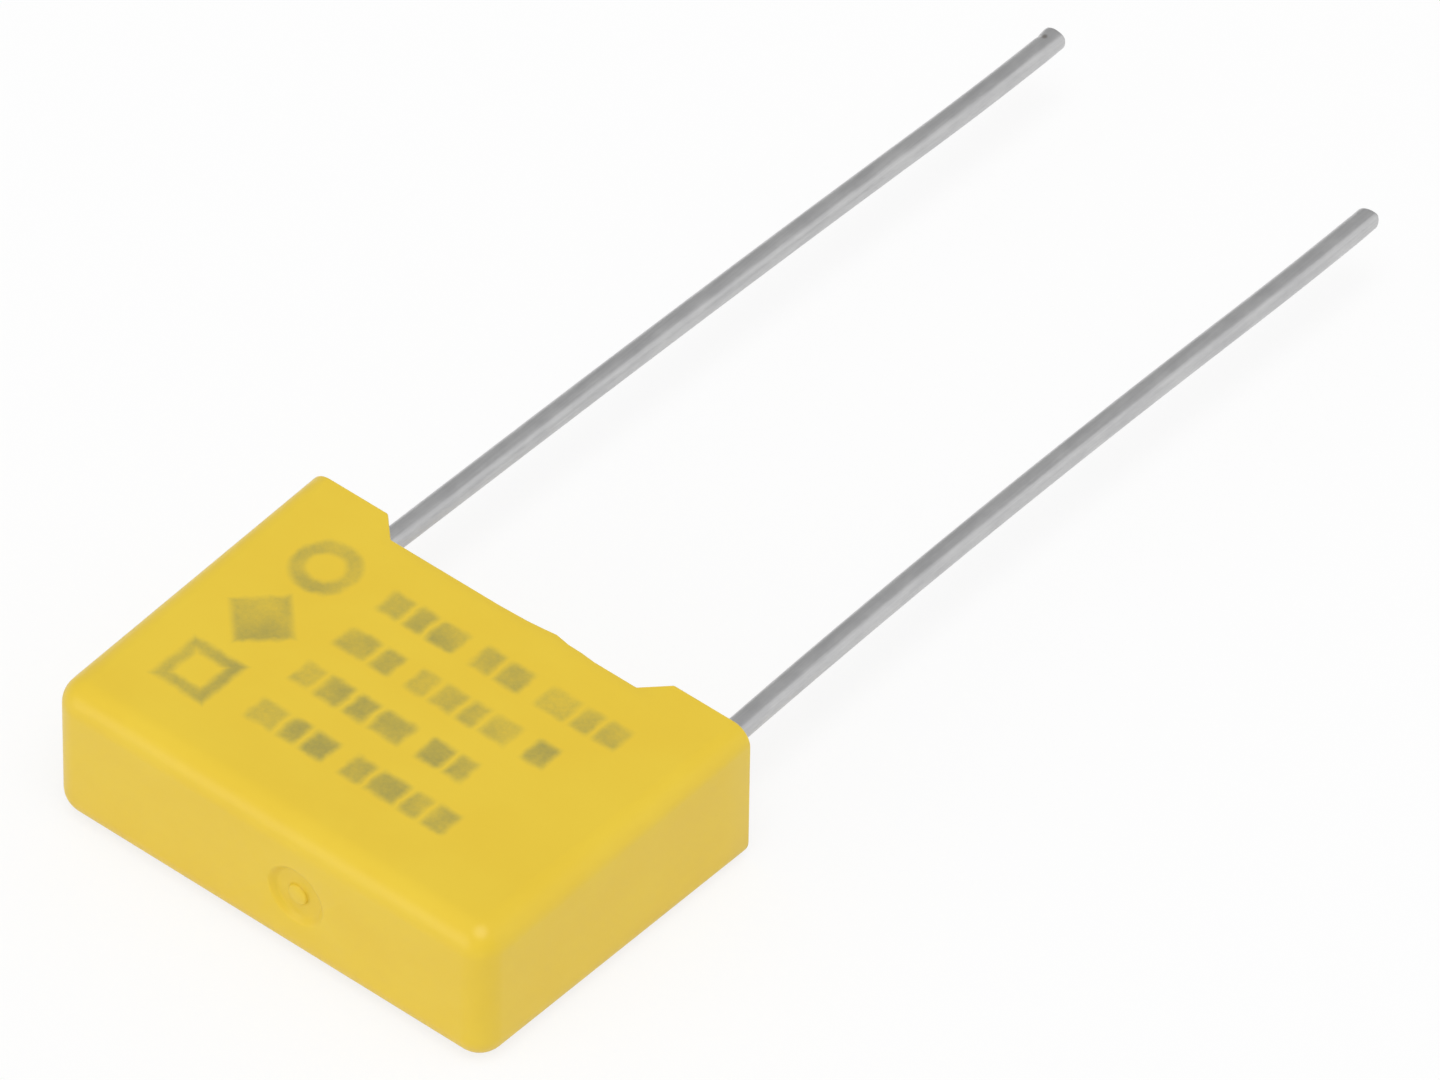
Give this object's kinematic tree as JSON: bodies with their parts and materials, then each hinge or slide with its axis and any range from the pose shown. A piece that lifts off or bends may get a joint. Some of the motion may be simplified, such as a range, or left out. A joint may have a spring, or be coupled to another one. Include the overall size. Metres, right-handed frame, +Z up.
{
  "type": "film capacitor",
  "caption": "Yellow moulded box film capacitor, resin sealed at the lead side between stand-off feet, with straight tinned radial wire leads.",
  "frame": {"origin": "middle of the broad face of the case that the part lies on", "axes": "+X along the lead row, +Y out along the leads, +Z up, through the thickness of the case"},
  "size_m": [0.013, 0.0331, 0.004],
  "materials": {
    "case_plastic": "yellow flame-retardant moulded thermoplastic with a satin skin and faded grey-olive print",
    "potting_resin": "cast yellow resin with a smooth, slightly sagging surface",
    "metallised_film": "rolled plastic film with a thin bright metal coat",
    "sprayed_zinc": "dull grey sprayed metal, rough",
    "tinned_wire": "satin tin plating on copper-clad steel wire"
  },
  "bodies": {
    "root": {"case": "case_plastic", "potting": "potting_resin", "film_winding": "metallised_film", "end_spray_left": "sprayed_zinc", "end_spray_right": "sprayed_zinc", "lead_left": "tinned_wire", "lead_right": "tinned_wire"}
  },
  "joints": []
}
